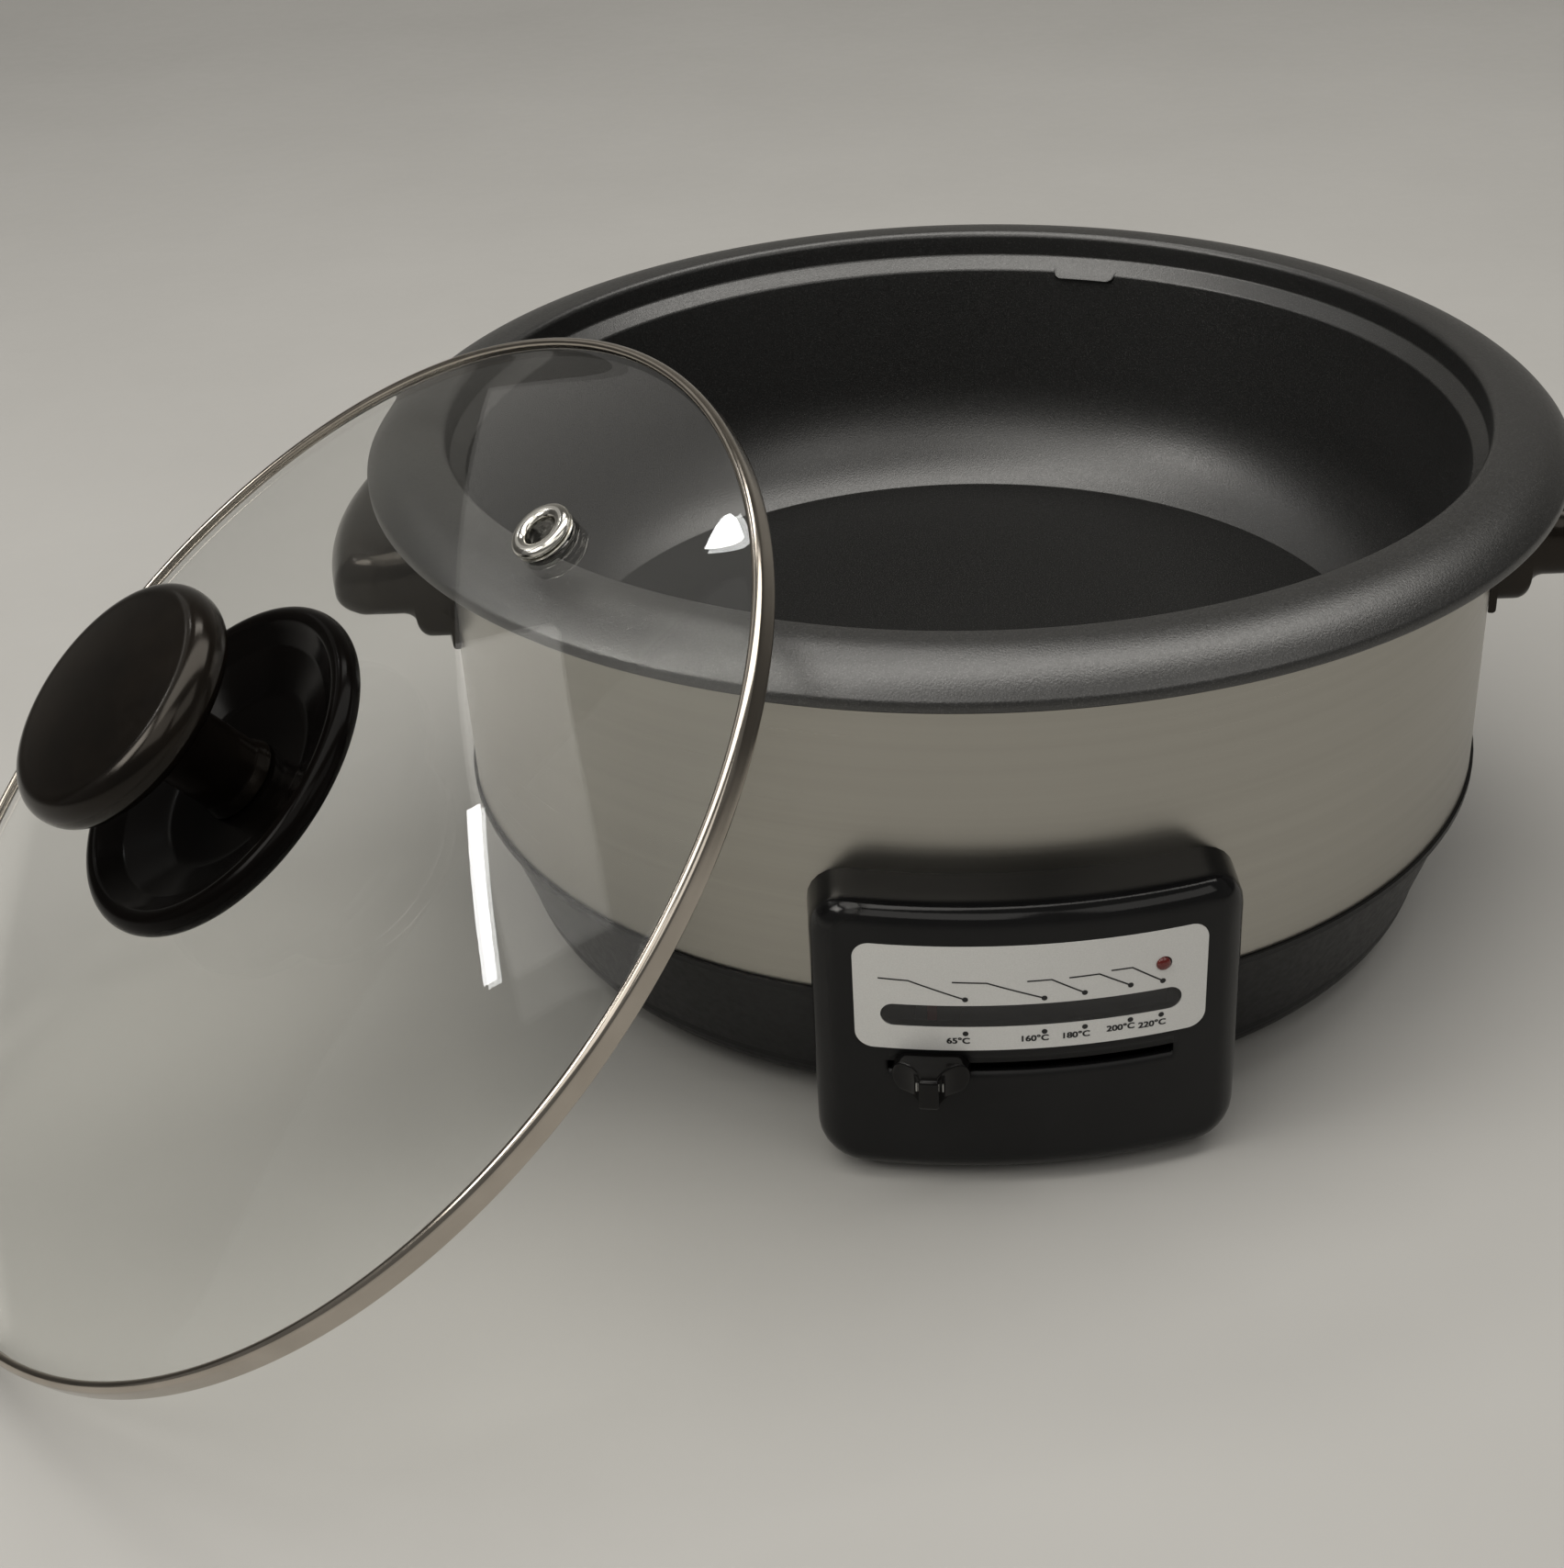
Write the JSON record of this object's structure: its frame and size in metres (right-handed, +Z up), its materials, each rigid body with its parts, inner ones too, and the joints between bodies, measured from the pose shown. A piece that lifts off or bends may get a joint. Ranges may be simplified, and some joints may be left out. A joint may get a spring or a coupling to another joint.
{
  "type": "electric hot pot",
  "caption": "Round electric hot pot with a non-stick pot in a steel body, ear handles, a sliding temperature control and a loose domed glass lid leaning on the rim.",
  "frame": {"origin": "on the pot's axis, in the plane of the feet's undersides, where it stands on the table", "axes": "+Z up along the pot's axis, -Y out of the control face, +X to the right of someone who faces the controls"},
  "size_m": [0.4935, 0.4408, 0.1935],
  "materials": {
    "nonstick": "cast, under a satin non-stick coating with a fine speckle",
    "brushed_band": "brushed round the body",
    "bright_steel": "polished",
    "plain_steel": "plain",
    "sheet_aluminium": "mill finish",
    "satin_black": "satin moulding",
    "gloss_black": "gloss moulding",
    "pale_moulding": "heat-resistant moulding",
    "label": "silver-white printed plate",
    "smoked_lens": "smoked clear strip",
    "red_lens": "clear red",
    "red_pointer": "satin",
    "lamp_glass": "clear",
    "lid_glass": "clear tempered",
    "wire": "sleeved",
    "rubber": "matt"
  },
  "bodies": {
    "pot": {"inner_pot": "nonstick", "steel_band": "brushed_band", "base_cup": "satin_black", "rubber_feet": "rubber", "base_screws": "plain_steel", "heating_element": "plain_steel", "heat_reflector": "sheet_aluminium", "thermostat_body": "pale_moulding", "thermostat_bracket": "sheet_aluminium", "thermal_fuse": "plain_steel", "terminal_block": "pale_moulding", "supply_wires": "wire", "handle_left": "satin_black", "handle_right": "satin_black", "handle_screws": "plain_steel", "control_housing": "gloss_black", "housing_screws": "plain_steel", "control_label": "label", "window_lens": "smoked_lens", "lamp_lens": "red_lens", "indicator_lamp": "lamp_glass", "power_inlet": "satin_black", "inlet_pins": "plain_steel"},
    "slider": {"slider_knob": "satin_black", "slider_lever": "plain_steel", "pointer": "red_pointer", "thermostat_spindle": "plain_steel"},
    "lid": {"lid_glass": "lid_glass", "lid_rim_band": "bright_steel", "vent_grommet": "bright_steel", "knob_grip": "gloss_black", "knob_base": "gloss_black", "knob_screw": "plain_steel", "knob_washer": "rubber"}
  },
  "joints": [
    {"name": "slider_turn", "type": "hinge", "parent": "pot", "child": "slider", "pos_m": [0, 0, 0.0388], "axis": [0, 0, 1], "range_deg": [-2.4, 19.6]},
    {"name": "lid_lift", "type": "slide", "parent": "pot", "child": "lid", "axis": [-0.5637, -0.2947, 0.7716], "range_m": [0, 0.25]}
  ]
}
